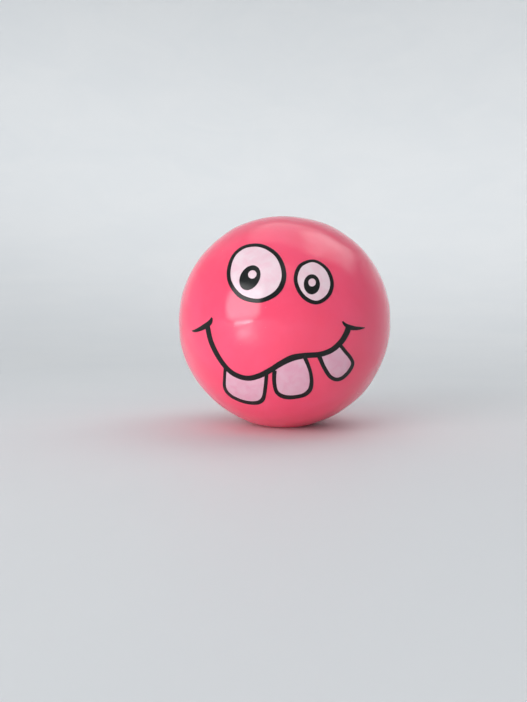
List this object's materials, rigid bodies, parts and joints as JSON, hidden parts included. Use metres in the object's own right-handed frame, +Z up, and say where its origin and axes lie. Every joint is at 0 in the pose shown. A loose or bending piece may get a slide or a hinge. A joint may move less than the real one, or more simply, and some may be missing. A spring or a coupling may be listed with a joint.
{
  "type": "stress ball",
  "caption": "Soft round squeeze ball: glossy skin around a dough filling, stopper in the base, and a printed comic face in white and black ink.",
  "frame": {"origin": "centre of the small flat that the ball stands on", "axes": "+Z up through the ball's centre from the flat and its stopper, -Y out of the printed face, +X to the viewer's right"},
  "size_m": [0.06, 0.06, 0.0592],
  "materials": {
    "skin": "gloss",
    "filling": "satin",
    "plug": "satin",
    "white_ink": "gloss",
    "black_ink": "gloss"
  },
  "bodies": {
    "root": {"skin": "skin", "filling": "filling", "plug": "plug", "left_eye_white": "white_ink", "right_eye_white": "white_ink", "left_tooth_white": "white_ink", "middle_tooth_white": "white_ink", "right_tooth_white": "white_ink", "left_eye_outline": "black_ink", "right_eye_outline": "black_ink", "left_pupil": "black_ink", "right_pupil": "black_ink", "mouth_line": "black_ink"}
  },
  "joints": []
}
